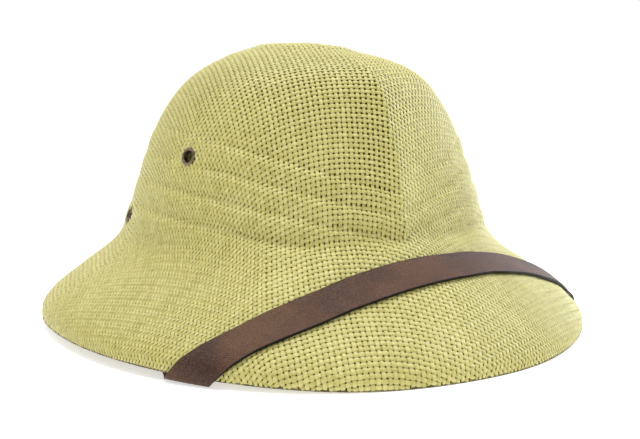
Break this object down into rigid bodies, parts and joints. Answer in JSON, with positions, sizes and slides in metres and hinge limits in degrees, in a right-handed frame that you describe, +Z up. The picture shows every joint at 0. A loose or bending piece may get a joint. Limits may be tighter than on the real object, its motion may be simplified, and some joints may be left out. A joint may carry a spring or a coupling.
{
  "type": "pith helmet",
  "caption": "Sun helmet of woven straw with a bell-shaped pleated crown, a sloping brim, a leather chin strap over the front and metal eyelets.",
  "frame": {"origin": "middle of the helmet's footprint, on the plane that the hem rests on", "axes": "+Z up through the crown, -Y towards the front of the brim, +X towards the wearer's left"},
  "size_m": [0.2896, 0.2968, 0.1496],
  "materials": {
    "straw": "pale yellow woven paper straw, satin",
    "leather": "dark reddish brown leather, fine grain, satin",
    "antique_brass": "dull antique brass"
  },
  "bodies": {
    "root": {"shell": "straw", "strap": "leather", "eyelet_vent_left": "antique_brass", "eyelet_vent_right": "antique_brass", "eyelet_strap_left": "antique_brass", "eyelet_strap_right": "antique_brass"}
  },
  "joints": []
}
